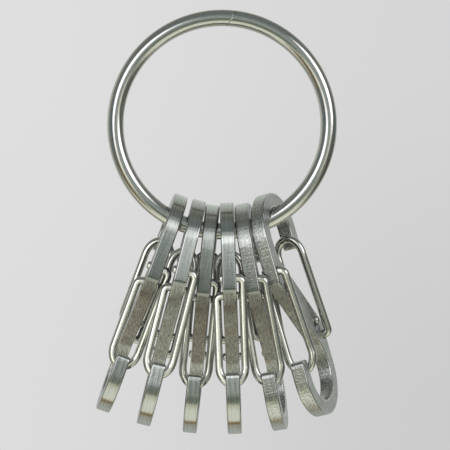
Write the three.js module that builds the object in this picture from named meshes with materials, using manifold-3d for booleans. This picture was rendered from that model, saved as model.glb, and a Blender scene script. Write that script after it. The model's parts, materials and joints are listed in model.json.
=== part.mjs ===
// Key organiser: a closed wire ring that carries six flat S-shaped clips, each with two wire gates.
// Millimetres, +Z up, +X to the right, +Y away from the front.
// The origin is the inside top of the ring, where it hangs on a hook.
import * as THREE from 'three';
import { mergeVertices } from 'three/addons/utils/BufferGeometryUtils.js';
import Module from 'manifold-3d';

const wasm = await Module();
wasm.setup();

// Ring: round wire, bent to a circle and welded shut.
const RING_OUTER_RADIUS = 20;
const RING_WIRE_RADIUS = 1.45;
const RING_MID_RADIUS = RING_OUTER_RADIUS - RING_WIRE_RADIUS;
const RING_CENTRE_Z = RING_WIRE_RADIUS - RING_MID_RADIUS;
const RING_STEPS = 60;
const RING_SIDES = 12;

// S-plate: stamped flat, one hook up and one hook down, the same when turned half a turn.
const PLATE_LENGTH = 40;
const PLATE_WIDTH = 19;
const PLATE_THICKNESS = 2.4;
const PLATE_CHAMFER = 0.22;
const LIMB_WIDTH = 3.2;
const CROWN_WIDTH = 2.6;
const CROWN_RISE = 7.5; // height of the half ellipse that closes each hook
const NOSE_END = 9; // distance of each nose tip from the plate's centre line
const NOSE_ROUND = 0.9;
const BAR_CORNER = 5; // height where a spine ends and the cross bar begins
const BAR_CORNER_ROUND = 0.5;
const BAR_SLOPE = 0.92; // fall of the cross bar per millimetre of depth
const BAR_FILLET = 2.4;
const HALF_WIDTH = PLATE_WIDTH / 2;
const INNER_HALF = HALF_WIDTH - LIMB_WIDTH;
const SPRING_LINE = PLATE_LENGTH / 2 - CROWN_RISE;
const CROWN_STEPS = 18; // facets round the outside of a hook
const INNER_CROWN_STEPS = 12;
const CORNER_STEPS = 3;

// Gate: one wire whose bent ends sit in the plate, the long end on the hinge, the short in a slot.
const GATE_WIRE_RADIUS = 0.7;
const GATE_LEG_OFFSET = 2.25; // each leg's centre from the plate's mid-plane
const GATE_BEND = 0.9;
const GATE_HINGE = new THREE.Vector2(8.2, -7.05);
const GATE_FOLLOWER = new THREE.Vector2(5.9, -4);
const GATE_TIP = new THREE.Vector2(5.57, 11.1); // middle of the rounded end
const GATE_TIP_RISE = 3.1;
const GATE_STUB = 0.55; // how far an end stands out of the far face
const GATE_CLEARANCE = 0.16;
const GATE_TRAVEL = THREE.MathUtils.degToRad(24);
const SLOT_SLACK = THREE.MathUtils.degToRad(7); // how far the slot runs on behind the shut gate
const HOLE_SEGMENTS = 6;
const GATE_SEGMENTS = 4;
const GATE_BEND_STEPS = 3;
const GATE_TIP_STEPS = 5;

// Clearance between the ring's wire and a clip's crown.
const HANG_GAP = 0.34;
const HANG_SAMPLES = 20; // places tried on each side of the wire's top

const MERGE_DISTANCE = 1e-4;
const QUARTER_ELLIPSE_HANDLE = 0.5523; // handle length that makes a cubic curve a quarter ellipse

// How each clip hangs: its place round the ring from the bottom, its lean to the side, its turn
// about the vertical and its swing on the wire, in degrees, and how far its middle sits behind
// the wire. Neighbours are staggered in depth so that their gates lie past each other.
const HANGING = [
  { place: -27.4, lean: 20.2, turn: 3.4, swing: 2.6, depth: 0.6 },
  { place: -15.9, lean: 14.2, turn: 1.6, swing: -3, depth: -1.9 },
  { place: -6.3, lean: 5.9, turn: -0.5, swing: 2.5, depth: 0.9 },
  { place: 3.2, lean: -2, turn: -0.5, swing: -0.1, depth: -2.5 },
  { place: 13.3, lean: -9.6, turn: -4.9, swing: 2.9, depth: -0.2 },
  { place: 26, lean: -14.5, turn: -18, swing: 7.2, depth: 1.3 },
];

const ringSteel = { color: 0xc0c0b8, roughness: 0.16, metalness: 1 };
const plateSteel = { color: 0xa6a9a2, roughness: 0.34, metalness: 1 };
const gateSteel = { color: 0xb8b8ad, roughness: 0.2, metalness: 1 };

// ---- Helpers ----

function toSolid(geometry) {
  const bare = geometry.clone();
  bare.deleteAttribute('normal');
  bare.deleteAttribute('uv');
  const merged = mergeVertices(bare, MERGE_DISTANCE);
  return new wasm.Manifold(new wasm.Mesh({
    numProp: 3,
    vertProperties: new Float32Array(merged.attributes.position.array),
    triVerts: new Uint32Array(merged.index.array),
  }));
}

function toGeometry(solid) {
  const mesh = solid.getMesh();
  const geometry = new THREE.BufferGeometry();
  geometry.setAttribute('position', new THREE.BufferAttribute(mesh.vertProperties, 3));
  geometry.setIndex(new THREE.BufferAttribute(mesh.triVerts, 1));
  geometry.computeVertexNormals();
  return geometry;
}

// Turns a profile drawn as (depth, height) and extruded along Z into the clip's own axes:
// X through the thickness, Y in depth, Z up.
function standUp(geometry) {
  const across = new THREE.Matrix4().makeBasis(
    new THREE.Vector3(0, 1, 0),
    new THREE.Vector3(0, 0, 1),
    new THREE.Vector3(1, 0, 0),
  );
  return geometry.applyMatrix4(across);
}

function named(name, geometry, finish) {
  const mesh = new THREE.Mesh(geometry, new THREE.MeshStandardMaterial(finish));
  mesh.name = name;
  return mesh;
}

// ---- Ring ----

function makeRing() {
  const geometry = new THREE.TorusGeometry(RING_MID_RADIUS, RING_WIRE_RADIUS, RING_SIDES, RING_STEPS);
  geometry.rotateX(Math.PI / 2);
  const ring = named('ring', geometry, ringSteel);
  ring.position.z = RING_CENTRE_Z;
  return ring;
}

// ---- S-plate ----

// Half of the outline: from the upper nose over the crown, down the spine, along the underside
// of the cross bar and round the inside of the lower hook to the lower nose.
function halfOutline() {
  const innerRise = CROWN_RISE - CROWN_WIDTH;
  const junction = BAR_CORNER - BAR_SLOPE * (HALF_WIDTH + INNER_HALF);
  const alongBar = new THREE.Vector2(1, -BAR_SLOPE).normalize();
  const cornerEnd = new THREE.Vector2(-HALF_WIDTH, BAR_CORNER)
    .addScaledVector(alongBar, BAR_CORNER_ROUND);
  const filletStart = new THREE.Vector2(INNER_HALF, junction).addScaledVector(alongBar, -BAR_FILLET);
  const half = new THREE.Path();
  half.moveTo(HALF_WIDTH - NOSE_ROUND, NOSE_END);
  half.quadraticCurveTo(HALF_WIDTH, NOSE_END, HALF_WIDTH, NOSE_END + NOSE_ROUND);
  half.absellipse(0, SPRING_LINE, HALF_WIDTH, CROWN_RISE, 0, Math.PI, false, 0);
  half.lineTo(-HALF_WIDTH, BAR_CORNER + BAR_CORNER_ROUND);
  half.quadraticCurveTo(-HALF_WIDTH, BAR_CORNER, cornerEnd.x, cornerEnd.y);
  half.lineTo(filletStart.x, filletStart.y);
  half.quadraticCurveTo(INNER_HALF, junction, INNER_HALF, junction - BAR_FILLET);
  half.absellipse(0, -SPRING_LINE, INNER_HALF, innerRise, 0, Math.PI, true, 0);
  half.lineTo(-INNER_HALF, -NOSE_END - NOSE_ROUND);
  half.quadraticCurveTo(-INNER_HALF, -NOSE_END, -INNER_HALF - NOSE_ROUND, -NOSE_END);
  return half;
}

function outlinePoints() {
  const points = [];
  for (const curve of halfOutline().curves) {
    let steps = 1;
    if (curve.isEllipseCurve) {
      steps = curve.xRadius === HALF_WIDTH ? CROWN_STEPS : INNER_CROWN_STEPS;
    } else if (curve.isQuadraticBezierCurve) {
      steps = CORNER_STEPS;
    }
    for (let i = 0; i < steps; i++) {
      points.push(curve.getPoint(i / steps));
    }
  }
  return points.concat(points.map((point) => point.clone().negate()));
}

// Curved slot that lets a gate's short end travel about the hinge.
function slotShape(radius) {
  const arm = GATE_FOLLOWER.clone().sub(GATE_HINGE);
  const reach = arm.length();
  const start = arm.angle() - SLOT_SLACK;
  const end = arm.angle() + GATE_TRAVEL;
  const onArc = (angle) => new THREE.Vector2(Math.cos(angle), Math.sin(angle))
    .multiplyScalar(reach)
    .add(GATE_HINGE);
  const near = onArc(start);
  const far = onArc(end);
  const slot = new THREE.Shape();
  slot.absarc(GATE_HINGE.x, GATE_HINGE.y, reach + radius, start, end, false);
  slot.absarc(far.x, far.y, radius, end, end + Math.PI, false);
  slot.absarc(GATE_HINGE.x, GATE_HINGE.y, reach - radius, end, start, true);
  slot.absarc(near.x, near.y, radius, start + Math.PI, start + 2 * Math.PI, false);
  return slot;
}

function makePlateGeometry() {
  const body = new THREE.ExtrudeGeometry(new THREE.Shape(outlinePoints()), {
    depth: PLATE_THICKNESS - 2 * PLATE_CHAMFER,
    bevelEnabled: true,
    bevelThickness: PLATE_CHAMFER,
    bevelSize: PLATE_CHAMFER,
    bevelOffset: -PLATE_CHAMFER,
    bevelSegments: 1,
  });
  body.translate(0, 0, PLATE_CHAMFER - PLATE_THICKNESS / 2);
  let plate = toSolid(standUp(body));
  const holeRadius = GATE_WIRE_RADIUS + GATE_CLEARANCE;
  const hole = new THREE.Shape().absarc(GATE_HINGE.x, GATE_HINGE.y, holeRadius, 0, 2 * Math.PI, false);
  for (const shape of [hole, slotShape(holeRadius)]) {
    const cutter = new THREE.ExtrudeGeometry(shape, {
      depth: 2 * PLATE_THICKNESS,
      bevelEnabled: false,
      curveSegments: HOLE_SEGMENTS,
    });
    cutter.translate(0, 0, -PLATE_THICKNESS);
    standUp(cutter);
    plate = plate.subtract(toSolid(cutter));
    plate = plate.subtract(toSolid(cutter.clone().rotateX(Math.PI)));
  }
  return toGeometry(plate);
}

// ---- Gate ----

// Curves joined end to end, each drawn with its own number of steps.
class BentWire extends THREE.Curve {
  constructor(pieces) {
    super();
    this.pieces = pieces;
    this.steps = pieces.reduce((sum, piece) => sum + piece.steps, 0);
  }

  getPoint(t, target = new THREE.Vector3()) {
    let station = THREE.MathUtils.clamp(t, 0, 1) * this.steps;
    const last = this.pieces[this.pieces.length - 1];
    for (const piece of this.pieces) {
      if (station <= piece.steps || piece === last) {
        return piece.curve.getPoint(Math.min(station / piece.steps, 1), target);
      }
      station -= piece.steps;
    }
    return target;
  }

  getPointAt(t, target) {
    return this.getPoint(t, target);
  }

  getTangentAt(t, target) {
    return this.getTangent(t, target);
  }
}

// One side of a gate: from its bent end through the plate to the start of the rounded tip.
function gateSide(side, end) {
  const shoulder = new THREE.Vector2(GATE_TIP.x, GATE_TIP.y - GATE_TIP_RISE);
  const leg = shoulder.clone().sub(end).normalize().multiplyScalar(GATE_BEND).add(end);
  const x = side * GATE_LEG_OFFSET;
  const stub = new THREE.Vector3(-side * (PLATE_THICKNESS / 2 + GATE_STUB), end.x, end.y);
  const bendIn = new THREE.Vector3(x - side * GATE_BEND, end.x, end.y);
  const knee = new THREE.Vector3(x, end.x, end.y);
  const bendOut = new THREE.Vector3(x, leg.x, leg.y);
  const top = new THREE.Vector3(x, shoulder.x, shoulder.y);
  return { stub, bendIn, knee, bendOut, top };
}

function makeGateGeometry() {
  const right = gateSide(1, GATE_HINGE);
  const left = gateSide(-1, GATE_FOLLOWER);
  const crest = new THREE.Vector3(0, GATE_TIP.x, GATE_TIP.y);
  const rise = (point) => point.clone().add(
    new THREE.Vector3(0, 0, QUARTER_ELLIPSE_HANDLE * GATE_TIP_RISE),
  );
  const reach = (side) => crest.clone().add(
    new THREE.Vector3(side * QUARTER_ELLIPSE_HANDLE * GATE_LEG_OFFSET, 0, 0),
  );
  const bend = (from, corner, to) => ({
    curve: new THREE.QuadraticBezierCurve3(from, corner, to),
    steps: GATE_BEND_STEPS,
  });
  const quarterTip = (...points) => ({
    curve: new THREE.CubicBezierCurve3(...points),
    steps: GATE_TIP_STEPS,
  });
  const wire = new BentWire([
    { curve: new THREE.LineCurve3(right.stub, right.bendIn), steps: 1 },
    bend(right.bendIn, right.knee, right.bendOut),
    { curve: new THREE.LineCurve3(right.bendOut, right.top), steps: 1 },
    quarterTip(right.top, rise(right.top), reach(1), crest),
    quarterTip(crest, reach(-1), rise(left.top), left.top),
    { curve: new THREE.LineCurve3(left.top, left.bendOut), steps: 1 },
    bend(left.bendOut, left.knee, left.bendIn),
    { curve: new THREE.LineCurve3(left.bendIn, left.stub), steps: 1 },
  ]);
  const section = new THREE.Shape().absarc(0, 0, GATE_WIRE_RADIUS, 0, 2 * Math.PI, false);
  return new THREE.ExtrudeGeometry(section, {
    steps: wire.steps,
    extrudePath: wire,
    bevelEnabled: false,
    curveSegments: GATE_SEGMENTS,
  });
}

// ---- Clips on the ring ----

// Height of the wire's centre in the plate's axes when it sits under the crown.
function wireHeight(depth) {
  const reach = RING_WIRE_RADIUS + HANG_GAP;
  let height = Infinity;
  for (let i = -HANG_SAMPLES; i <= HANG_SAMPLES; i++) {
    const across = (reach * i) / HANG_SAMPLES;
    const arch = Math.sqrt(1 - ((across - depth) / INNER_HALF) ** 2) * (CROWN_RISE - CROWN_WIDTH);
    height = Math.min(height, arch - Math.sqrt(reach ** 2 - across ** 2));
  }
  return SPRING_LINE + height;
}

function makeClip(number, hanging, plateGeometry, gateGeometry) {
  const clip = new THREE.Group();
  const place = THREE.MathUtils.degToRad(hanging.place);
  clip.position.set(
    RING_MID_RADIUS * Math.sin(place),
    0,
    RING_CENTRE_Z - RING_MID_RADIUS * Math.cos(place),
  );
  clip.rotation.set(
    THREE.MathUtils.degToRad(hanging.swing),
    THREE.MathUtils.degToRad(hanging.lean),
    THREE.MathUtils.degToRad(hanging.turn),
    'ZYX',
  );
  const body = new THREE.Group();
  body.position.set(0, hanging.depth, -wireHeight(hanging.depth));
  const upperGate = named(`clip_${number}_upper_gate`, gateGeometry, gateSteel);
  const lowerGate = named(`clip_${number}_lower_gate`, gateGeometry, gateSteel);
  lowerGate.rotation.x = Math.PI;
  body.add(named(`clip_${number}_plate`, plateGeometry, plateSteel), upperGate, lowerGate);
  clip.add(body);
  return clip;
}

const organiser = new THREE.Group();
organiser.add(makeRing());
const plateGeometry = makePlateGeometry();
const gateGeometry = makeGateGeometry();
HANGING.forEach((hanging, index) => {
  organiser.add(makeClip(index + 1, hanging, plateGeometry, gateGeometry));
});

export default organiser;
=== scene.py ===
"""Looks for the key organiser: a welded wire ring and six flat S-clips with two wire gates each."""
import json
import math

import bmesh
import bpy
import numpy as np
from mathutils import Matrix, Vector
from mathutils.geometry import tessellate_polygon


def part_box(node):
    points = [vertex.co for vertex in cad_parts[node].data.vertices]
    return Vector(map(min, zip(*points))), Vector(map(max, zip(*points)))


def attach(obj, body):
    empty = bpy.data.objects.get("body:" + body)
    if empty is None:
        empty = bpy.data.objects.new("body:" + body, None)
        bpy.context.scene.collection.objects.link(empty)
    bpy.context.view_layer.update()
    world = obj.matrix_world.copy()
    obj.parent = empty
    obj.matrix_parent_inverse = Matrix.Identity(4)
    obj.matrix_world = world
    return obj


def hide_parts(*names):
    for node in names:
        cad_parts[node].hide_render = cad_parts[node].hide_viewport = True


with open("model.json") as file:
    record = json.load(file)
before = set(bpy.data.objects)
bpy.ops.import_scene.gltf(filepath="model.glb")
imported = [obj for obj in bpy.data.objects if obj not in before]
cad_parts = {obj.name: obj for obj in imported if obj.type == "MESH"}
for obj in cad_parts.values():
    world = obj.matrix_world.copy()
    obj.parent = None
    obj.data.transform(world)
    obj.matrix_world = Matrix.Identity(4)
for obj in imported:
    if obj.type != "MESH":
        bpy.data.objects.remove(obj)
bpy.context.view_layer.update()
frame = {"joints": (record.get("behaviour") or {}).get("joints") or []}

MM = 0.001
CLIPS = 6
CLIP_WEAR = (0.15, 0.1, 0.15, 0.1, 0.6, 1.0)  # how scuffed each clip's cut edges are

# Ring, in millimetres and degrees.
RING_WIRE_RADIUS = 1.45
RING_STEPS = 240
RING_SIDES = 48
WELD_ANGLE = 5.3  # clockwise from the top
WELD_SLANT = 2.4
WELD_DEPTH = 0.035
WELD_HALF_WIDTH = 0.2
WELD_REACH = 9.0

# Plate, in millimetres.
PLATE_LENGTH = 40.0
PLATE_WIDTH = 19.0
PLATE_THICKNESS = 2.4
LIMB_WIDTH = 3.2
CROWN_WIDTH = 2.6
CROWN_RISE = 7.5
NOSE_END = 9.0
NOSE_ROUND = 0.9
BAR_CORNER = 5.0
BAR_CORNER_ROUND = 0.5
BAR_SLOPE = 0.92
BAR_FILLET = 2.4
BAR_EDGE = 0.12  # over this length the brushed finish gives way to the bar's torn one
EDGE_ROUND = 0.26
EDGE_STEPS = 5
CAP_INSET = 0.06
BAND_INSET = 0.1
# Painted shade: along this run of the outline the spine's base colour darkens towards the bar.
SPINE_START = 29.0  # along the outline from the nose tip
SPINE_END = 39.1
SPINE_PAINTED_SHADE = 0.75  # how dark the painted shade on the spine gets towards the bar
HALF_WIDTH = PLATE_WIDTH / 2
INNER_HALF = HALF_WIDTH - LIMB_WIDTH
SPRING_LINE = PLATE_LENGTH / 2 - CROWN_RISE

# Gate, in millimetres.
GATE_WIRE_RADIUS = 0.7
GATE_LEG_OFFSET = 2.25
GATE_BEND = 0.9
GATE_HINGE = np.array([8.2, -7.05])
GATE_FOLLOWER = np.array([5.9, -4.0])
GATE_TIP = np.array([5.57, 11.1])
GATE_TIP_RISE = 3.1
GATE_STUB = 0.55
GATE_CLEARANCE = 0.16
GATE_TRAVEL = math.radians(24)
SLOT_SLACK = math.radians(7)
GATE_SIDES = 24
GATE_END_ROUND = 0.42
GATE_END_STEPS = 6
HOLE_CHAMFER = 0.1
ROUNDNESS = 0.5523  # handle length that makes a cubic curve a quarter ellipse


def linear(*levels):
    """Colour from 0-255 display levels to the renderer's linear values."""
    out = []
    for level in levels:
        c = level / 255
        out.append(c / 12.92 if c <= 0.04045 else ((c + 0.055) / 1.055) ** 2.4)
    return (*out, 1.0)


# ---- Curves ----

def line(a, b, steps=1):
    t = np.arange(steps)[:, None] / steps
    return np.array(a) * (1 - t) + np.array(b) * t


def quadratic(a, b, c, steps):
    t = np.arange(steps)[:, None] / steps
    return np.array(a) * (1 - t) ** 2 + np.array(b) * 2 * t * (1 - t) + np.array(c) * t ** 2


def cubic(a, b, c, d, steps):
    t = np.arange(steps)[:, None] / steps
    s = 1 - t
    return (np.array(a) * s ** 3 + np.array(b) * 3 * s * s * t
            + np.array(c) * 3 * s * t * t + np.array(d) * t ** 3)


def ellipse(centre, radii, start, end, steps):
    t = start + (end - start) * np.arange(steps) / steps
    return np.column_stack([centre[0] + radii[0] * np.cos(t), centre[1] + radii[1] * np.sin(t)])


def plate_outline():
    """The plate's outline as points (depth, height), and for each point how much of the bar it is."""
    inner_rise = CROWN_RISE - CROWN_WIDTH
    junction = BAR_CORNER - BAR_SLOPE * (HALF_WIDTH + INNER_HALF)
    along = np.array([1, -BAR_SLOPE]) / math.hypot(1, BAR_SLOPE)
    corner = np.array([-HALF_WIDTH, BAR_CORNER])
    corner_end = corner + along * BAR_CORNER_ROUND
    bar_start = corner_end + along * BAR_EDGE
    fillet = np.array([INNER_HALF, junction])
    fillet_start = fillet - along * BAR_FILLET
    runs = [
        (quadratic((HALF_WIDTH - NOSE_ROUND, NOSE_END), (HALF_WIDTH, NOSE_END),
                   (HALF_WIDTH, NOSE_END + NOSE_ROUND), 8), 0),
        (line((HALF_WIDTH, NOSE_END + NOSE_ROUND), (HALF_WIDTH, SPRING_LINE), 3), 0),
        (ellipse((0, SPRING_LINE), (HALF_WIDTH, CROWN_RISE), 0, math.pi, 72), 0),
        (line((-HALF_WIDTH, SPRING_LINE), (-HALF_WIDTH, BAR_CORNER + BAR_CORNER_ROUND), 8), 0),
        (quadratic((-HALF_WIDTH, BAR_CORNER + BAR_CORNER_ROUND), corner, corner_end, 8), 0),
        (line(corner_end, bar_start), 0),
        (line(bar_start, fillet_start, 12), 1),
        (quadratic(fillet_start, fillet, (INNER_HALF, junction - BAR_FILLET), 12), 1),
        (line((INNER_HALF, junction - BAR_FILLET), (INNER_HALF, -SPRING_LINE), 3), 0),
        (ellipse((0, -SPRING_LINE), (INNER_HALF, inner_rise), 0, -math.pi, 56), 0),
        (line((-INNER_HALF, -SPRING_LINE), (-INNER_HALF, -NOSE_END - NOSE_ROUND), 3), 0),
        (quadratic((-INNER_HALF, -NOSE_END - NOSE_ROUND), (-INNER_HALF, -NOSE_END),
                   (-INNER_HALF - NOSE_ROUND, -NOSE_END), 8), 0),
        (line((-INNER_HALF - NOSE_ROUND, -NOSE_END), (-HALF_WIDTH + NOSE_ROUND, -NOSE_END), 2), 0),
    ]
    half = np.concatenate([points for points, _ in runs])
    bar = np.concatenate([np.full(len(points), float(kind)) for points, kind in runs])
    return np.concatenate([half, -half]), np.concatenate([bar, bar])


def loop_normals(points):
    """Unit normals of a closed loop, outward for a loop drawn counter-clockwise."""
    ahead = np.roll(points, -1, 0) - points
    behind = points - np.roll(points, 1, 0)
    ahead /= np.linalg.norm(ahead, axis=1)[:, None]
    behind /= np.linalg.norm(behind, axis=1)[:, None]
    tangent = ahead + behind
    tangent /= np.linalg.norm(tangent, axis=1)[:, None]
    return np.column_stack([tangent[:, 1], -tangent[:, 0]])


def slot_outline(radius):
    arm = GATE_FOLLOWER - GATE_HINGE
    reach = float(np.hypot(*arm))
    angle = math.atan2(arm[1], arm[0])
    start = angle - SLOT_SLACK
    end = angle + GATE_TRAVEL
    near = GATE_HINGE + reach * np.array([math.cos(start), math.sin(start)])
    far = GATE_HINGE + reach * np.array([math.cos(end), math.sin(end)])
    return np.concatenate([
        ellipse(GATE_HINGE, (reach + radius,) * 2, start, end, 10),
        ellipse(far, (radius,) * 2, end, end + math.pi, 12),
        ellipse(GATE_HINGE, (reach - radius,) * 2, end, start, 8),
        ellipse(near, (radius,) * 2, start + math.pi, start + 2 * math.pi, 12),
    ])


def openings():
    radius = GATE_WIRE_RADIUS + GATE_CLEARANCE
    found = []
    for outline in (ellipse(GATE_HINGE, (radius,) * 2, 0, 2 * math.pi, 28), slot_outline(radius)):
        found.append(outline)
        found.append(-outline)
    return found


# ---- Meshes ----

class Builder:
    """Collects vertices and faces with one map position per corner and a material number per face."""

    def __init__(self):
        self.points = []
        self.maps = []
        self.faces = []
        self.kinds = []
        self.extra = []

    def loop(self, points, maps, extra=None):
        first = len(self.points)
        self.points.extend(map(tuple, points))
        self.maps.extend(map(tuple, maps))
        self.extra.extend([0.0] * len(points) if extra is None else map(float, extra))
        return list(range(first, first + len(points)))

    def bridge(self, a, b, kind):
        count = len(a)
        for i in range(count):
            j = (i + 1) % count
            self.faces.append((a[i], a[j], b[j], b[i]))
            self.kinds.append(kind)

    def face(self, corners, kind):
        self.faces.append(tuple(corners))
        self.kinds.append(kind)


def make_object(name, builder, materials, place, wrap=None, wear=0.0):
    """wrap is the length of map v round a closed run, so that the last strip doesn't run backwards."""
    mesh = bpy.data.meshes.new(name)
    mesh.from_pydata([tuple(c * MM for c in p) for p in builder.points], [], builder.faces)
    layer = mesh.uv_layers.new(name="surface_mm")
    for polygon in mesh.polygons:
        maps = [builder.maps[v] for v in polygon.vertices]
        high = max(m[1] for m in maps)
        for corner, position in zip(polygon.loop_indices, maps):
            v = position[1]
            if wrap and high - v > wrap / 2:
                v += wrap
            layer.data[corner].uv = (position[0], v)
    mesh.polygons.foreach_set("material_index", builder.kinds)
    mark = mesh.attributes.new("mark", "FLOAT", "POINT")
    mark.data.foreach_set("value", builder.extra)
    worn = mesh.attributes.new("wear", "FLOAT", "POINT")
    worn.data.foreach_set("value", [wear] * len(builder.points))
    for material in materials:
        mesh.materials.append(material)
    mesh.transform(place)
    mesh.validate()
    mesh.shade_smooth()
    made = bpy.data.objects.new(name, mesh)
    bpy.context.scene.collection.objects.link(made)
    return made


def edge_profile():
    """Steps (depth in from the outline, height above the mid-plane) from front face to back face."""
    half = PLATE_THICKNESS / 2
    steps = [(EDGE_ROUND + CAP_INSET, half)]
    for i in range(EDGE_STEPS + 1):
        a = math.pi / 2 * i / EDGE_STEPS
        steps.append((EDGE_ROUND * (1 - math.sin(a)), half - EDGE_ROUND * (1 - math.cos(a))))
    steps.append((0, half - EDGE_ROUND - BAND_INSET))
    back = [(inset, -height) for inset, height in reversed(steps)]
    return steps + back


def lift(points, height):
    """Points (depth, height above) of the outline to the clip's axes: X through the plate."""
    return np.column_stack([np.full(len(points), height), points])


def plate_builder():
    builder = Builder()
    outline, bar = plate_outline()
    outward = loop_normals(outline)
    spacing = np.linalg.norm(np.roll(outline, -1, 0) - outline, axis=1)
    run = np.concatenate([[0], np.cumsum(spacing)[:-1]])
    length = float(spacing.sum())
    profile = edge_profile()
    loops = []
    across = PLATE_THICKNESS / 2
    previous = None
    for inset, height in profile:
        if previous is not None:
            across -= math.hypot(inset - previous[0], height - previous[1])
        previous = (inset, height)
        points = lift(outline - outward * inset, height)
        loops.append(builder.loop(points, np.column_stack([np.full(len(run), across), run]), bar))
    rounding = EDGE_STEPS + 1
    for strip, (a, b) in enumerate(zip(loops, loops[1:])):
        flat_band = rounding <= strip < len(loops) - 1 - rounding
        builder.bridge(b, a, 1 if flat_band else 2)
    hole_loops = []
    half = PLATE_THICKNESS / 2
    hole_steps = [(HOLE_CHAMFER + CAP_INSET, half), (HOLE_CHAMFER, half), (0, half - HOLE_CHAMFER)]
    hole_steps += [(grow, -height) for grow, height in reversed(hole_steps)]
    for opening in openings():
        away = loop_normals(opening)
        rings = [builder.loop(lift(opening + away * grow, height), opening + away * grow)
                 for grow, height in hole_steps]
        for a, b in zip(rings, rings[1:]):
            builder.bridge(a, b, 0)
        hole_loops.append(rings)
    for side, level in ((0, 1), (-1, -1)):
        rims = []
        for rings in [loops] + hole_loops:
            source = [builder.points[i] for i in rings[side]]
            rims.append(builder.loop(source, [(p[1], p[2]) for p in source]))
        flat = [i for rim in rims for i in rim]
        outlines = [[Vector((builder.points[i][1], builder.points[i][2], 0)) for i in rim] for rim in rims]
        for triangle in tessellate_polygon(outlines):
            corners = [flat[i] for i in triangle]
            a, b, c = (np.array(builder.points[i][1:]) for i in corners)
            turn = (b[0] - a[0]) * (c[1] - a[1]) - (b[1] - a[1]) * (c[0] - a[0])
            if turn * level < 0:
                corners.reverse()
            builder.face(corners, 0)
    return builder, length


def merge_rims(made):
    """Joins the flat faces to their rounded rims; map positions are kept, as they are per corner."""
    mesh = made.data
    work = bmesh.new()
    work.from_mesh(mesh)
    bmesh.ops.remove_doubles(work, verts=work.verts, dist=1e-7)
    bmesh.ops.recalc_face_normals(work, faces=work.faces)
    work.to_mesh(mesh)
    work.free()


def gate_path():
    """Centre line of a gate in the clip's axes, from the hinge end to the slot end."""
    runs = []
    for side, end in ((1, GATE_HINGE), (-1, GATE_FOLLOWER)):
        shoulder = GATE_TIP - np.array([0, GATE_TIP_RISE])
        leg = (shoulder - end) / np.linalg.norm(shoulder - end)
        x = side * GATE_LEG_OFFSET
        stub = np.array([-side * (PLATE_THICKNESS / 2 + GATE_STUB), *end])
        bend_start = np.array([x - side * GATE_BEND, *end])
        up = np.array([0, *leg])
        out = np.array([side, 0, 0])
        turn = np.linspace(0, math.pi / 2, 11)[:, None]
        arc = bend_start + GATE_BEND * (np.sin(turn) * out + (1 - np.cos(turn)) * up)
        top = np.array([x, *shoulder])
        straight = line(arc[-1], top, 14)[1:]
        runs.append(np.concatenate([line(stub, bend_start, 4), arc, straight]))
        runs[-1] = np.concatenate([runs[-1], top[None]])
    crest = np.array([0, *GATE_TIP])
    rise = np.array([0, 0, ROUNDNESS * GATE_TIP_RISE])
    reach = np.array([ROUNDNESS * GATE_LEG_OFFSET, 0, 0])
    first = cubic(runs[0][-1], runs[0][-1] + rise, crest + reach, crest, 22)[1:]
    second = cubic(crest, crest - reach, runs[1][-1] + rise, runs[1][-1], 22)
    return np.concatenate([runs[0], first, second, runs[1][::-1]])


def sweep(path, radius, sides, end_round):
    """A round wire along a path, with rounded ends."""
    builder = Builder()
    tangents = np.gradient(path, axis=0)
    tangents /= np.linalg.norm(tangents, axis=1)[:, None]
    side = np.cross(tangents[0], [0, 0, 1.0])
    side /= np.linalg.norm(side)
    steps = np.linalg.norm(np.diff(path, axis=0), axis=1)
    run = np.concatenate([[0], np.cumsum(steps)])
    angles = np.arange(sides) / sides * 2 * math.pi
    around = angles * radius
    loops = []

    def ring_at(point, tangent, side, size, distance):
        other = np.cross(tangent, side)
        points = point + size * (np.cos(angles)[:, None] * side + np.sin(angles)[:, None] * other)
        return builder.loop(points, np.column_stack([np.full(sides, distance), around]))

    stations = []
    for i, (point, tangent) in enumerate(zip(path, tangents)):
        side = side - tangent * side.dot(tangent)
        side /= np.linalg.norm(side)
        stations.append((point, tangent, side.copy(), radius, run[i]))
    first, last = stations[0], stations[-1]
    dome = []
    for i in range(GATE_END_STEPS + 1):
        a = math.pi / 2 * i / GATE_END_STEPS
        dome.append((end_round * (1 - math.cos(a)), radius - end_round * (1 - math.sin(a))))
    dome.insert(0, (0, dome[0][1] * 0.5))
    start = [(first[0] + first[1] * back, first[1], first[2], size, run[0]) for back, size in dome]
    finish = [(last[0] - last[1] * back, last[1], last[2], size, run[-1]) for back, size in reversed(dome)]
    for station in start + stations[1:-1] + finish:
        loops.append(ring_at(*station))
    for a, b in zip(loops, loops[1:]):
        builder.bridge(a, b, 0)
    builder.face(reversed(loops[0]), 0)
    builder.face(loops[-1], 0)
    return builder


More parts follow.
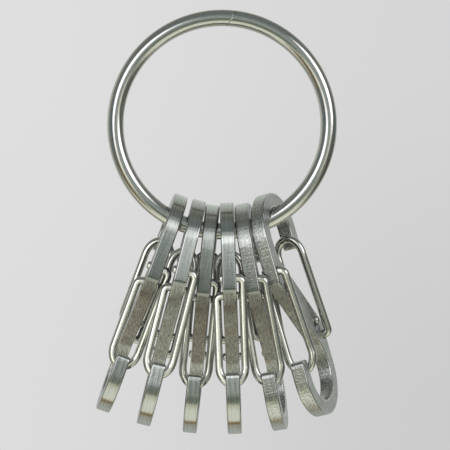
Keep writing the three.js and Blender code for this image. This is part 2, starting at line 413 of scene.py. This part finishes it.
def ring_builder():
    low, high = (np.array(corner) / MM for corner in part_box("ring"))
    outer = (high[0] - low[0]) / 2
    mid = outer - RING_WIRE_RADIUS
    centre = (low + high) / 2
    weld = WELD_ANGLE
    fine = np.array([0.04, 0.09, 0.15, 0.22, 0.3, 0.4, 0.52, 0.7, 0.95])
    even = np.arange(RING_STEPS) * 360 / RING_STEPS
    even = even[np.abs((even - weld + 180) % 360 - 180) > 1.3]
    turns = np.sort(np.concatenate([even, weld + fine, weld - fine, [weld]]))
    builder = Builder()
    beta = np.arange(RING_SIDES) / RING_SIDES * 2 * math.pi
    loops = []
    for t in turns:
        off = (t - weld + 180) % 360 - 180
        slant = WELD_SLANT * math.exp(-(off / WELD_REACH) ** 2)
        angle = np.radians(t + slant * np.cos(beta))
        distance = math.radians(off) * mid
        groove = WELD_DEPTH * math.exp(-(distance / (WELD_HALF_WIDTH * 0.45)) ** 2)
        swell = 0.25 * WELD_DEPTH * math.exp(-(distance / (WELD_HALF_WIDTH * 2.2)) ** 2)
        radius = RING_WIRE_RADIUS - groove + min(swell, groove)
        reach = mid + radius * np.cos(beta)
        points = np.column_stack([
            centre[0] + reach * np.sin(angle),
            centre[1] + radius * np.sin(beta),
            centre[2] + reach * np.cos(angle),
        ])
        maps = np.column_stack([np.full(RING_SIDES, math.radians(t) * mid), beta * RING_WIRE_RADIUS])
        loops.append(builder.loop(points, maps, np.full(RING_SIDES, 0.8 * groove / WELD_DEPTH)))
    for a, b in zip(loops, loops[1:] + loops[:1]):
        builder.bridge(b, a, 0)
    return builder


# ---- Materials ----

class Tree:
    """Short calls for adding and joining nodes."""

    def __init__(self, material):
        material.use_nodes = True
        self.tree = material.node_tree
        self.tree.nodes.clear()

    def add(self, kind, **values):
        made = self.tree.nodes.new("ShaderNode" + kind)
        for name, value in values.items():
            setattr(made, name, value)
        return made

    def join(self, source, target, source_socket=0, target_socket=0):
        self.tree.links.new(source.outputs[source_socket], target.inputs[target_socket])

    def math(self, operation, a, b=0.5, clamp=False):
        made = self.add("Math", operation=operation, use_clamp=clamp)
        for socket, value in enumerate((a, b)):
            if hasattr(value, "node"):
                self.tree.links.new(value, made.inputs[socket])
            else:
                made.inputs[socket].default_value = value
        return made.outputs[0]

    def spread(self, value, low, high, out_low, out_high):
        made = self.add("MapRange", interpolation_type="SMOOTHSTEP")
        self.tree.links.new(value, made.inputs[0])
        for socket, number in zip((1, 2, 3, 4), (low, high, out_low, out_high)):
            made.inputs[socket].default_value = number
        return made.outputs[0]

    def mix(self, factor, a, b, blend="MIX"):
        made = self.add("Mix", data_type="RGBA", blend_type=blend)
        for socket, value in ((0, factor), (6, a), (7, b)):
            if hasattr(value, "node"):
                self.tree.links.new(value, made.inputs[socket])
            else:
                made.inputs[socket].default_value = value
        return made.outputs[2]

    def noise(self, vector, scale, detail=4.0, stretch=(1, 1, 1), roughness=0.55):
        place = self.add("Mapping")
        place.inputs["Scale"].default_value = stretch
        self.tree.links.new(vector, place.inputs["Vector"])
        made = self.add("TexNoise")
        made.inputs["Scale"].default_value = scale
        made.inputs["Detail"].default_value = detail
        made.inputs["Roughness"].default_value = roughness
        self.tree.links.new(place.outputs[0], made.inputs["Vector"])
        return made.outputs[0]


def surface_map(tree):
    return tree.add("UVMap", uv_map="surface_mm").outputs[0]


def wire_steel(name, colour, roughness, streak):
    """Polished wire: mirror-like, with faint lines drawn along it, small scuffs and a little haze."""
    material = bpy.data.materials.new(name)
    tree = Tree(material)
    where = surface_map(tree)
    lines = tree.noise(where, 1.0, 3.0, (0.12, 9.0, 1.0))
    scuffs = tree.noise(where, 1.0, 5.0, (0.9, 2.2, 1.0), 0.65)
    speckle = tree.noise(where, 1.0, 3.0, (5.0, 5.0, 1.0), 0.6)
    bsdf = tree.add("BsdfPrincipled")
    bsdf.inputs["Metallic"].default_value = 1.0
    dark = tuple(c * 0.82 for c in colour[:3]) + (1.0,)
    stain = tree.spread(scuffs, 0.45, 0.72, 0.0, 1.0)
    seam = tree.add("Attribute", attribute_name="mark").outputs["Fac"]
    tree.tree.links.new(tree.mix(seam, tree.mix(stain, colour, dark), (0.1, 0.09, 0.08, 1)),
                        bsdf.inputs["Base Color"])
    haze = tree.math("MULTIPLY_ADD", tree.spread(speckle, 0.35, 0.75, 0.0, 1.0), roughness * 0.7)
    haze.node.inputs[2].default_value = roughness * 0.75
    tree.tree.links.new(haze, bsdf.inputs["Roughness"])
    height = tree.math("ADD", tree.math("MULTIPLY", lines, streak), tree.math("MULTIPLY", speckle, 0.35))
    bump = tree.add("Bump")
    bump.inputs["Strength"].default_value = 0.25
    bump.inputs["Distance"].default_value = 0.00003
    tree.tree.links.new(height, bump.inputs["Height"])
    tree.join(bump, bsdf, 0, "Normal")
    out = tree.add("OutputMaterial")
    tree.join(bsdf, out)
    return material


def face_steel(name):
    """Plate faces: satin, tumbled, with fine scratches in all directions."""
    material = bpy.data.materials.new(name)
    tree = Tree(material)
    where = surface_map(tree)
    cloud = tree.noise(where, 1.0, 6.0, (0.5, 0.5, 1.0), 0.6)
    grain = tree.noise(where, 1.0, 4.0, (7.0, 7.0, 1.0), 0.6)
    scratch = tree.noise(where, 1.0, 3.0, (1.2, 14.0, 1.0), 0.6)
    bsdf = tree.add("BsdfPrincipled")
    bsdf.inputs["Metallic"].default_value = 1.0
    light, dark = (0.46, 0.47, 0.46, 1), (0.33, 0.34, 0.325, 1)
    tree.tree.links.new(tree.mix(tree.spread(cloud, 0.3, 0.7, 0.0, 1.0), dark, light),
                        bsdf.inputs["Base Color"])
    tree.tree.links.new(tree.spread(grain, 0.3, 0.7, 0.26, 0.42), bsdf.inputs["Roughness"])
    bump = tree.add("Bump")
    bump.inputs["Strength"].default_value = 0.3
    bump.inputs["Distance"].default_value = 0.00004
    tree.tree.links.new(tree.math("ADD", grain, tree.math("MULTIPLY", scratch, 0.6)),
                        bump.inputs["Height"])
    tree.join(bump, bsdf, 0, "Normal")
    out = tree.add("OutputMaterial")
    tree.join(bsdf, out)
    return material


def edge_steel(name, half_run):
    """Cut edges: brushed along their length, scuffed where worn, coarse and warm under the bar, with
    painted shade darkening the spine towards the bar.
    """
    material = bpy.data.materials.new(name)
    tree = Tree(material)
    where = surface_map(tree)
    bar = tree.add("Attribute", attribute_name="mark").outputs["Fac"]
    worn = tree.add("Attribute", attribute_name="wear").outputs["Fac"]
    brush = tree.noise(where, 1.0, 4.0, (4.2, 0.14, 1.0), 0.6)
    fine = tree.noise(where, 1.0, 3.0, (12.0, 0.5, 1.0), 0.6)
    grit = tree.noise(where, 1.0, 5.0, (3.4, 5.0, 1.0), 0.7)
    drag = tree.noise(where, 1.0, 4.0, (5.5, 0.9, 1.0), 0.65)
    patchy = tree.noise(where, 1.0, 2.0, (0.55, 0.5, 1.0), 0.5)
    ripple = tree.noise(where, 1.0, 3.0, (0.5, 2.6, 1.0), 0.6)
    pits = tree.spread(tree.noise(where, 1.0, 4.0, (3.2, 2.4, 1.0), 0.7), 0.50, 0.60, 0.0, 1.0)
    glints = tree.spread(tree.noise(where, 1.0, 3.0, (4.6, 3.4, 1.0), 0.7), 0.55, 0.63, 0.0, 1.0)
    bsdf = tree.add("BsdfPrincipled")
    bsdf.inputs["Metallic"].default_value = 1.0
    bsdf.inputs["Anisotropic"].default_value = 0.95
    light, dark = (0.60, 0.61, 0.59, 1), (0.45, 0.465, 0.455, 1)
    clean = tree.mix(tree.spread(brush, 0.34, 0.66, 0.0, 1.0), dark, light)
    scuffs_and_spine_shade = tree.mix(tree.math("MULTIPLY", pits, worn), clean, (0.27, 0.28, 0.265, 1))
    scuffs_and_spine_shade = tree.mix(tree.math("MULTIPLY", glints, worn), scuffs_and_spine_shade, (0.86, 0.87, 0.83, 1))
    run = tree.add("SeparateXYZ")
    tree.tree.links.new(where, run.inputs[0])
    along = tree.math("MODULO", run.outputs[1], half_run)
    # Painted shade: the spine's base colour is darkened towards the bar, standing in for light falling off
    # down the spine.
    painted_spine_shade = tree.spread(along, SPINE_START, SPINE_END, 0.0, SPINE_PAINTED_SHADE)
    after = tree.spread(along, SPINE_END, SPINE_END + 0.2, 1.0, 0.0)
    scuffs_and_spine_shade = tree.mix(tree.math("MULTIPLY", painted_spine_shade, after), scuffs_and_spine_shade, (0.22, 0.235, 0.225, 1))
    tone = tree.math("ADD", tree.math("MULTIPLY", grit, 0.5), tree.math("MULTIPLY", drag, 0.5))
    torn = tree.mix(tree.spread(tone, 0.38, 0.62, 0.0, 1.0), (0.22, 0.23, 0.215, 1), (0.72, 0.74, 0.70, 1))
    torn = tree.mix(tree.spread(patchy, 0.52, 0.66, 0.0, 0.5), torn, (0.44, 0.385, 0.35, 1))
    tree.tree.links.new(tree.mix(bar, scuffs_and_spine_shade, torn), bsdf.inputs["Base Color"])
    smooth = tree.math("ADD", tree.spread(brush, 0.3, 0.7, 0.14, 0.22), tree.math("MULTIPLY", worn, 0.08))
    rough = tree.add("Mix")
    tree.tree.links.new(bar, rough.inputs[0])
    tree.tree.links.new(smooth, rough.inputs[2])
    rough.inputs[3].default_value = 0.42
    tree.join(rough, bsdf, 0, "Roughness")
    lines = tree.math("ADD", tree.math("MULTIPLY", brush, 0.8), tree.math("MULTIPLY", fine, 0.4))
    rubbed = tree.math("MULTIPLY", tree.math("ADD", tree.math("MULTIPLY", ripple, 7.0),
                                                 tree.math("MULTIPLY", grit, 2.5)), worn)
    coarse = tree.math("MULTIPLY", tree.math("MULTIPLY", tone, bar), 3.0)
    bump = tree.add("Bump")
    bump.inputs["Strength"].default_value = 0.35
    bump.inputs["Distance"].default_value = 0.00003
    tree.tree.links.new(tree.math("ADD", tree.math("ADD", lines, rubbed), coarse), bump.inputs["Height"])
    tree.join(bump, bsdf, 0, "Normal")
    tangent = tree.add("Tangent", direction_type="UV_MAP", uv_map="surface_mm")
    tree.join(tangent, bsdf, 0, "Tangent")
    out = tree.add("OutputMaterial")
    tree.join(bsdf, out)
    return material


def rim_steel(name):
    """Rounded rims of the plate: polished by tumbling and handling, with slight haze where they rub."""
    material = bpy.data.materials.new(name)
    tree = Tree(material)
    where = surface_map(tree)
    worn = tree.add("Attribute", attribute_name="wear").outputs["Fac"]
    haze = tree.noise(where, 1.0, 4.0, (1.2, 0.8, 1.0), 0.6)
    nicks = tree.spread(tree.noise(where, 1.0, 3.0, (3.0, 2.4, 1.0), 0.6), 0.54, 0.66, 0.0, 1.0)
    bsdf = tree.add("BsdfPrincipled")
    bsdf.inputs["Metallic"].default_value = 1.0
    clean = tree.mix(haze, (0.36, 0.37, 0.37, 1), (0.50, 0.50, 0.475, 1))
    tree.tree.links.new(tree.mix(tree.math("MULTIPLY", nicks, worn), clean, (0.8, 0.8, 0.77, 1)),
                        bsdf.inputs["Base Color"])
    tree.tree.links.new(tree.spread(haze, 0.3, 0.7, 0.13, 0.24), bsdf.inputs["Roughness"])
    out = tree.add("OutputMaterial")
    tree.join(bsdf, out)
    return material


# ---- Pieces ----

def clip_place(number):
    """Matrix from a clip's own axes, in metres, to the frame; its gates' hinges flank its centre."""
    joints = {j["name"]: j for j in frame["joints"]}
    upper = joints[f"clip_{number}_upper_gate_hinge"]
    lower = joints[f"clip_{number}_lower_gate_hinge"]
    axis = Vector(upper["axis"]).normalized()
    a, b = Vector(upper["pos_m"]), Vector(lower["pos_m"])
    span = (a - b).normalized()
    cross = axis.cross(span)
    depth, height = GATE_HINGE / np.hypot(*GATE_HINGE)
    y = span * depth - cross * height
    z = span * height + cross * depth
    matrix = Matrix((axis, y, z)).transposed().to_4x4()
    matrix.translation = (a + b) / 2
    return matrix


ring_finish = wire_steel("ring_finish", (0.58, 0.58, 0.565, 1), 0.10, 0.35)
gate_finish = wire_steel("gate_finish", (0.60, 0.60, 0.575, 1), 0.16, 0.8)
face_finish = face_steel("plate_face_finish")
rim_finish = rim_steel("plate_rim_finish")

ring = make_object("ring_wire", ring_builder(), [ring_finish], Matrix.Identity(4))
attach(ring, "ring")
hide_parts("ring")

plate_mesh, plate_run = plate_builder()
edge_finish = edge_steel("plate_edge_finish", plate_run / 2)
gate_mesh = sweep(gate_path(), GATE_WIRE_RADIUS, GATE_SIDES, GATE_END_ROUND)
half_turn = Matrix.Rotation(math.pi, 4, "X")
plates = []
gates = []
for number in range(1, CLIPS + 1):
    place = clip_place(number)
    plate = make_object(f"clip_{number}_body", plate_mesh, [face_finish, edge_finish, rim_finish], place,
                        plate_run, CLIP_WEAR[number - 1])
    merge_rims(plate)
    plates.append(plate)
    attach(plate, f"clip_{number}")
    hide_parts(f"clip_{number}_plate")
    for side, turn in (("upper", Matrix.Identity(4)), ("lower", half_turn)):
        gate = make_object(f"clip_{number}_{side}_wire", gate_mesh, [gate_finish], place @ turn,
                           2 * math.pi * GATE_WIRE_RADIUS)
        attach(gate, f"clip_{number}_{side}")
        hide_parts(f"clip_{number}_{side}_gate")
        gates.append(gate)


# ---- Surroundings ----

WORLD_STRENGTH = 1.75


def ramp(tree, share_of_half_turn, stops):
    """Colour by angle; stops are (degrees, display colour)."""
    made = tree.add("ValToRGB")
    elements = made.color_ramp.elements
    elements.remove(elements[-1])
    for i, (angle, colour) in enumerate(stops):
        element = elements[0] if i == 0 else elements.new(angle / 180)
        element.position = angle / 180
        element.color = linear(*colour)
    tree.tree.links.new(share_of_half_turn, made.inputs[0])
    return made.outputs[0]


def patch(tree, direction, towards, inner, outer):
    """1 near a direction, 0 away from it."""
    dot = tree.add("VectorMath", operation="DOT_PRODUCT")
    tree.tree.links.new(direction, dot.inputs[0])
    dot.inputs[1].default_value = Vector(towards).normalized()
    return tree.spread(dot.outputs["Value"], math.cos(math.radians(outer)),
                       math.cos(math.radians(inner)), 0.0, 1.0)


world = bpy.data.worlds.new("studio")
bpy.context.scene.world = world
sky = Tree(world)
direction = sky.add("TexCoord").outputs["Generated"]
parts = sky.add("SeparateXYZ")
sky.tree.links.new(direction, parts.inputs[0])
side_way, away, height = parts.outputs
toward = sky.math("MULTIPLY", away, -1.0)
polar = sky.math("DIVIDE", sky.math("ARCCOSINE", toward, 0), math.pi)
across = sky.math("SQRT", sky.math("SUBTRACT", 1.0001, sky.math("MULTIPLY", away, away)), 0)
fall = sky.math("DIVIDE", sky.math("MULTIPLY", height, -1.0), across)
# What the metal reflects, by angle from the direction towards the camera. The dark bands are set
# for this view, and the camera itself sees a plain backdrop instead.
above = ramp(sky, polar, [
    (0, (132, 140, 135)), (20, (128, 134, 130)), (35, (112, 118, 114)), (50, (96, 102, 100)),
    (62, (94, 101, 100)), (76, (100, 105, 102)), (88, (92, 96, 91)), (98, (98, 100, 93)),
    (108, (126, 127, 120)), (110, (66, 62, 55)), (114, (66, 62, 55)), (116, (122, 124, 118)),
    (130, (152, 155, 150)), (155, (168, 171, 168)), (180, (162, 165, 163)),
])
below = ramp(sky, polar, [
    (0, (132, 140, 134)), (10, (112, 120, 114)), (18, (92, 99, 93)), (28, (98, 106, 97)),
    (36, (112, 115, 98)), (41, (168, 170, 150)), (52, (190, 192, 174)), (62, (200, 202, 188)),
    (96, (200, 201, 187)), (101, (138, 122, 92)), (107, (108, 90, 66)), (112, (142, 140, 127)),
    (135, (148, 152, 146)), (180, (130, 133, 128)),
])
base = sky.mix(sky.spread(fall, 0.25, 0.8, 0.0, 1.0), above, below)
PATCHES = (  # direction, reach of the full and of the faint part in degrees, colour, share
    ((0.95, -0.1, -0.15), 10, 42, (78, 82, 80), 0.75),
    ((-0.75, -0.47, -0.47), 6, 20, (98, 82, 52), 0.9),
    ((0.90, 0.09, -0.42), 6, 24, (72, 62, 48), 0.9),
    ((-0.8, 0.5, 0.1), 10, 40, (182, 184, 174), 0.6),
    ((-0.71, -0.7, -0.02), 4, 15, (66, 76, 84), 0.8),
    ((0.57, -0.82, -0.05), 4, 16, (206, 202, 184), 0.8),
    ((-0.47, -0.87, -0.14), 3, 14, (238, 234, 214), 0.8),
)
for towards, inner, outer, colour, share in PATCHES:
    near = sky.math("MULTIPLY", patch(sky, direction, towards, inner, outer), share)
    base = sky.mix(near, base, linear(*colour))
SOFTBOXES = (
    ((0.69, -0.64, 0.32), 9, 24, 1.7),
    ((-0.41, -0.88, 0.24), 8, 22, 1.3),
)
for towards, inner, outer, power in SOFTBOXES:
    base = sky.mix(patch(sky, direction, towards, inner, outer), base, (power, power, power * 1.02, 1))
seen = sky.add("LightPath").outputs["Is Camera Ray"]
down = sky.spread(height, -0.08, 0.08, 1.0, 0.0)
left_tone = sky.mix(down, linear(223, 223, 223), linear(220, 220, 220))
right_tone = sky.mix(down, linear(214, 214, 214), linear(204, 204, 204))
backdrop = sky.mix(sky.spread(side_way, -0.09, 0.09, 0.0, 1.0), left_tone, right_tone)
reflected = sky.add("Background")
sky.tree.links.new(base, reflected.inputs[0])
reflected.inputs[1].default_value = WORLD_STRENGTH
shown = sky.add("Background")
sky.tree.links.new(backdrop, shown.inputs[0])
choose = sky.add("MixShader")
sky.tree.links.new(seen, choose.inputs[0])
sky.tree.links.new(reflected.outputs[0], choose.inputs[1])
sky.tree.links.new(shown.outputs[0], choose.inputs[2])
world_out = sky.add("OutputWorld")
sky.join(choose, world_out)

LIGHT_DISTANCE = 0.6
LOOK_AT = Vector((0, 0, -0.035))
for name, towards, size, power in (
    ("light_right", (0.68, -0.67, 0.29), 0.26, 5.0),
    ("light_left", (-0.38, -0.86, 0.34), 0.26, 5.0),
):
    lamp = bpy.data.lights.new(name, "AREA")
    lamp.shape = "DISK"
    lamp.size = size
    lamp.energy = power
    holder = bpy.data.objects.new(name, lamp)
    way = Vector(towards).normalized()
    holder.location = LOOK_AT + way * LIGHT_DISTANCE
    holder.rotation_euler = way.to_track_quat("Z", "Y").to_euler()
    holder.visible_camera = False
    holder.visible_glossy = False
    bpy.context.scene.collection.objects.link(holder)

# Near lights: overlapping strips that brighten the crowns and fade down the spines, and some low on
# the left for the gates. Each lights only the pieces it is linked to. The staggered clips have
# lower strips of their own, which stand in for hanging at a slightly different angle.
NEAR_PLACE = Vector((0, -0.008, -0.028))
NEAR_DISTANCE = 0.2
OUTER_CLIPS = [plates[i] for i in (0, 2, 4, 5)]
STAGGERED_CLIPS = [plates[i] for i in (1, 3)]
BRIGHT_GATES = gates[0:4] + gates[6:8]
DIM_GATES = gates[4:6] + gates[8:12]
NEAR_LIGHTS = (  # name, degrees above the view line, sideways share, width, height, power, warm, pieces
    ("strip_low", 30, 0.03, 0.2, 0.09, 0.018, 1.0, OUTER_CLIPS),
    ("strip_mid", 41, 0.03, 0.2, 0.09, 0.026, 1.0, OUTER_CLIPS),
    ("strip_high", 53, 0.03, 0.2, 0.09, 0.018, 1.0, OUTER_CLIPS),
    ("strip_front", 9, 0.03, 0.2, 0.09, 0.018, 1.0, STAGGERED_CLIPS),
    ("strip_raised", 20, 0.03, 0.2, 0.09, 0.026, 1.0, STAGGERED_CLIPS),
    ("strip_top", 32, 0.03, 0.2, 0.09, 0.018, 1.0, STAGGERED_CLIPS),
    ("gate_broad", -9, -0.3, 0.34, 0.2, 0.16, 0.88, BRIGHT_GATES),
    ("gate_dim", -9, -0.3, 0.34, 0.2, 0.065, 0.92, DIM_GATES),
    ("gate_line", -13, -0.45, 0.05, 0.2, 0.04, 0.92, gates),
)
for name, rise, sideways, width, tall, power, warm, lit in NEAR_LIGHTS:
    group = bpy.data.collections.new(name)
    for made in lit:
        group.objects.link(made)
    lamp = bpy.data.lights.new(name, "AREA")
    lamp.shape = "RECTANGLE"
    lamp.size = width
    lamp.size_y = tall
    lamp.energy = power
    lamp.color = (1, 1, warm)
    holder = bpy.data.objects.new(name, lamp)
    way = Vector((sideways, -math.cos(math.radians(rise)), math.sin(math.radians(rise)))).normalized()
    holder.location = NEAR_PLACE + way * NEAR_DISTANCE
    holder.rotation_euler = way.to_track_quat("Z", "Y").to_euler()
    holder.visible_camera = False
    holder.light_linking.receiver_collection = group
    bpy.context.scene.collection.objects.link(holder)

FLOOR_RADIUS = 0.16
FLOOR_HEIGHT = -0.12
FLOOR_STEPS = 64
floor_mesh = bpy.data.meshes.new("floor")
rim = [(FLOOR_RADIUS * math.cos(i / FLOOR_STEPS * 2 * math.pi),
        FLOOR_RADIUS * math.sin(i / FLOOR_STEPS * 2 * math.pi), FLOOR_HEIGHT) for i in range(FLOOR_STEPS)]
floor_mesh.from_pydata(rim, [], [tuple(range(FLOOR_STEPS))])
floor = bpy.data.objects.new("floor", floor_mesh)
bpy.context.scene.collection.objects.link(floor)
floor.visible_glossy = False
floor_finish = bpy.data.materials.new("floor_finish")
floor_tree = Tree(floor_finish)
spot = floor_tree.add("TexCoord").outputs["Object"]
flat = floor_tree.add("VectorMath", operation="MULTIPLY")
floor_tree.tree.links.new(spot, flat.inputs[0])
flat.inputs[1].default_value = (1, 1, 0)
span = floor_tree.add("VectorMath", operation="LENGTH")
floor_tree.join(flat, span)
solid = floor_tree.spread(span.outputs["Value"], FLOOR_RADIUS * 0.45, FLOOR_RADIUS * 0.98, 1.0, 0.0)
paint = floor_tree.add("BsdfPrincipled")
paint.inputs["Base Color"].default_value = (0.72, 0.71, 0.72, 1)
paint.inputs["Roughness"].default_value = 0.7
clear = floor_tree.add("BsdfTransparent")
blend = floor_tree.add("MixShader")
floor_tree.tree.links.new(solid, blend.inputs[0])
floor_tree.tree.links.new(clear.outputs[0], blend.inputs[1])
floor_tree.tree.links.new(paint.outputs[0], blend.inputs[2])
floor_out = floor_tree.add("OutputMaterial")
floor_tree.join(blend, floor_out)
floor_mesh.materials.append(floor_finish)

# ---- Camera ----

CAMERA_DISTANCE = 0.45
VIEW_WIDTH = 0.07826
camera_data = bpy.data.cameras.new("camera")
camera_data.sensor_width = 36
camera_data.lens = 36 * CAMERA_DISTANCE / VIEW_WIDTH
camera = bpy.data.objects.new("camera", camera_data)
camera.location = (0.00052, -CAMERA_DISTANCE, -0.03458)
camera.rotation_euler = (math.pi / 2, 0, 0)
bpy.context.scene.collection.objects.link(camera)
bpy.context.scene.camera = camera
bpy.context.scene.view_settings.view_transform = "Standard"
